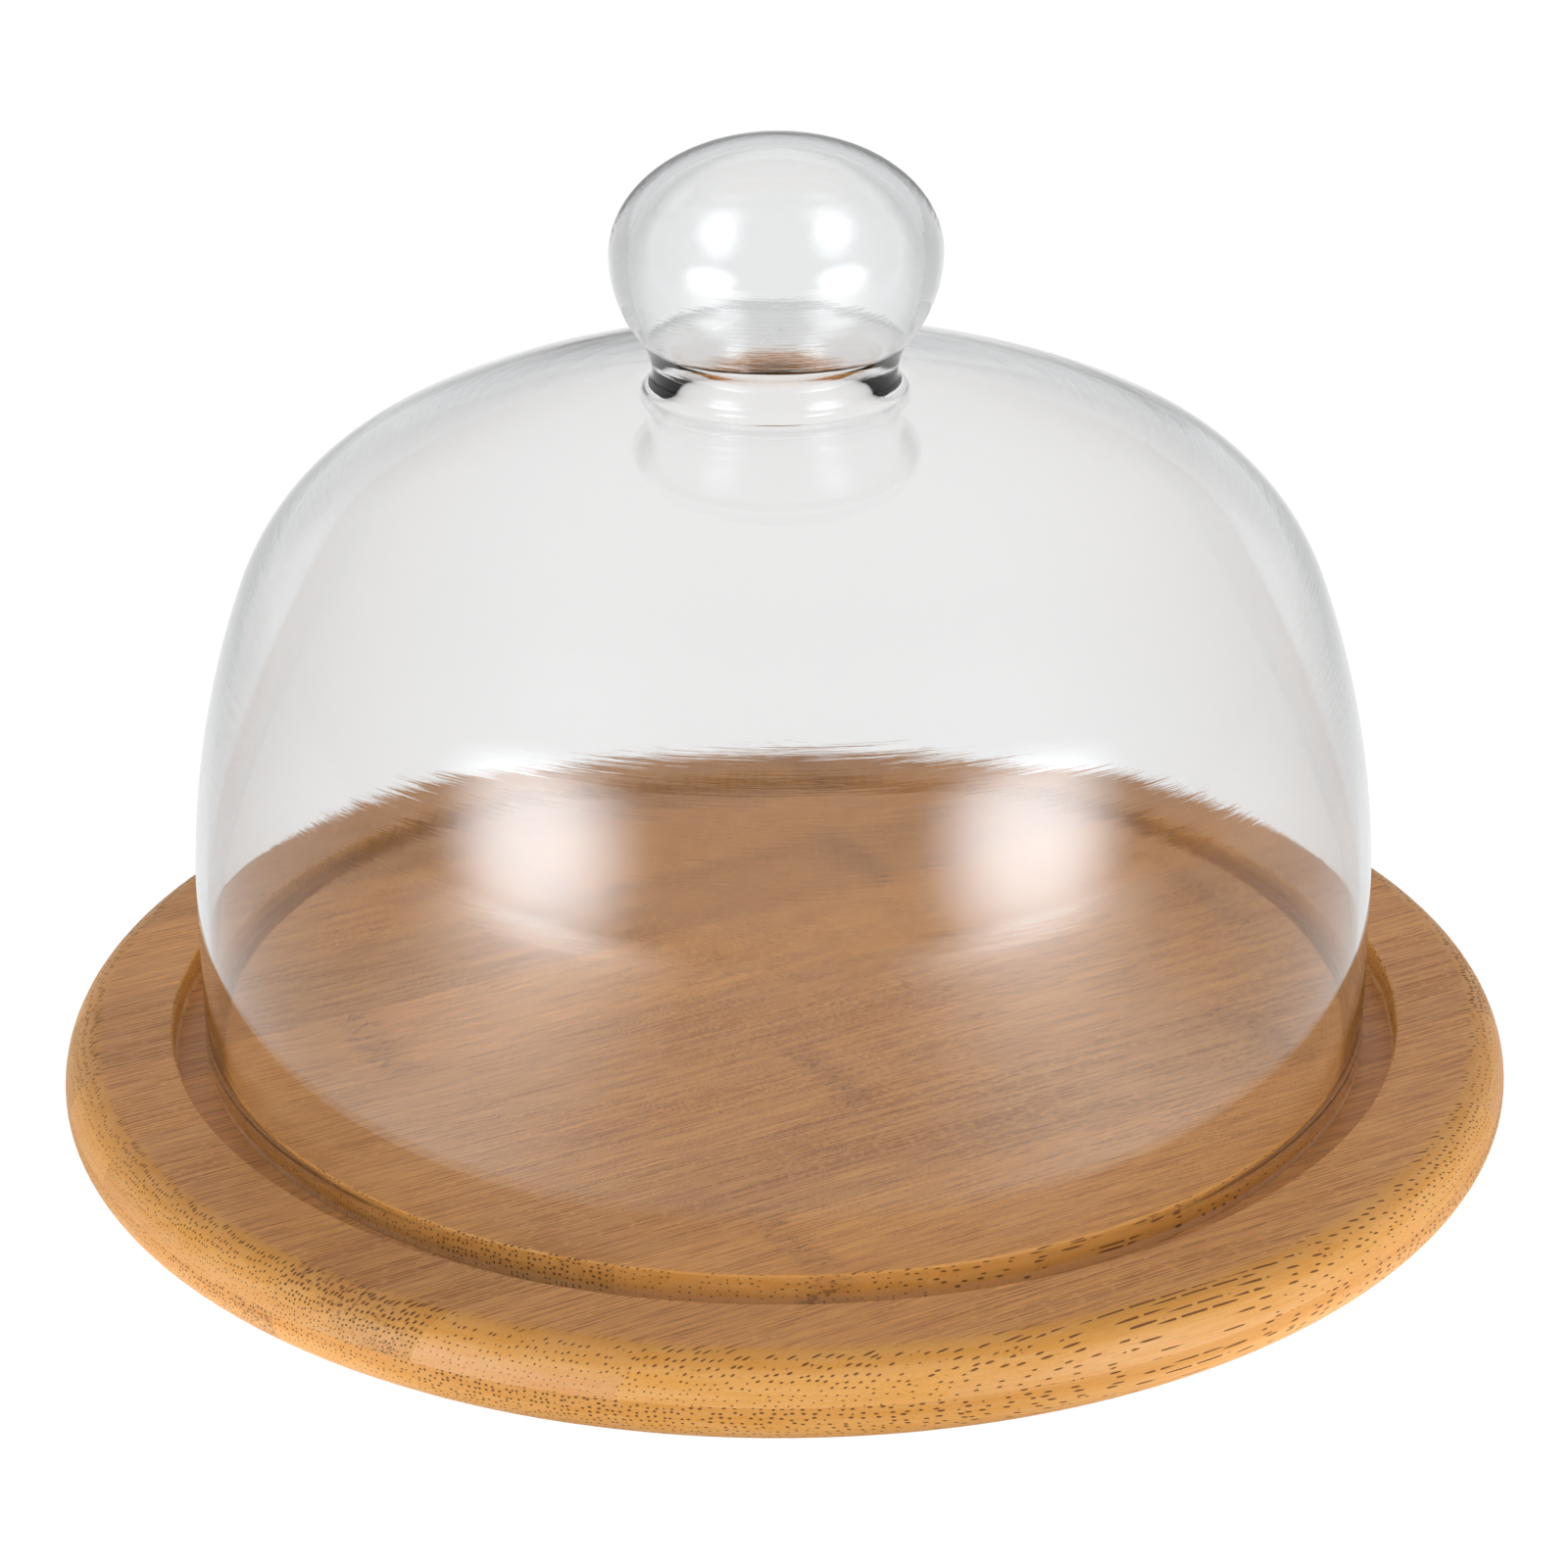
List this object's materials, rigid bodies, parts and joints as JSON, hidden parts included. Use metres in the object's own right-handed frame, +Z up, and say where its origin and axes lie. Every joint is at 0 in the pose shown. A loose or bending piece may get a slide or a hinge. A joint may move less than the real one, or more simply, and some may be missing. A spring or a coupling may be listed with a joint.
{
  "type": "cheese dome",
  "caption": "Round bamboo board with a ring groove, and a clear glass dome with a hollow round knob that stands in the groove and lifts off.",
  "frame": {"origin": "centre of the board's underside", "axes": "+Z up along the axis of the board and the dome; the side that faces the viewer is -Y; the bamboo's grain runs 30 degrees from +X towards +Y"},
  "size_m": [0.25, 0.25, 0.1668],
  "materials": {
    "bamboo_top_ply": "oiled bamboo, satin, fibres along the staves",
    "bamboo_bottom_ply": "oiled bamboo, satin, fibres along the staves",
    "clear_glass": "clear blown glass, polished"
  },
  "bodies": {
    "board": {"board_top_stave_01": "bamboo_top_ply", "board_top_stave_02": "bamboo_top_ply", "board_top_stave_03": "bamboo_top_ply", "board_top_stave_04": "bamboo_top_ply", "board_top_stave_05": "bamboo_top_ply", "board_top_stave_06": "bamboo_top_ply", "board_top_stave_07": "bamboo_top_ply", "board_top_stave_08": "bamboo_top_ply", "board_top_stave_09": "bamboo_top_ply", "board_top_stave_10": "bamboo_top_ply", "board_top_stave_11": "bamboo_top_ply", "board_bottom_stave_01": "bamboo_bottom_ply", "board_bottom_stave_02": "bamboo_bottom_ply", "board_bottom_stave_03": "bamboo_bottom_ply", "board_bottom_stave_04": "bamboo_bottom_ply", "board_bottom_stave_05": "bamboo_bottom_ply", "board_bottom_stave_06": "bamboo_bottom_ply", "board_bottom_stave_07": "bamboo_bottom_ply", "board_bottom_stave_08": "bamboo_bottom_ply", "board_bottom_stave_09": "bamboo_bottom_ply", "board_bottom_stave_10": "bamboo_bottom_ply", "board_bottom_stave_11": "bamboo_bottom_ply"},
    "dome": {"glass_dome": "clear_glass"}
  },
  "joints": [
    {"name": "dome_lift", "type": "slide", "parent": "board", "child": "dome", "axis": [0, 0, 1], "range_m": [0, 0.16]}
  ]
}
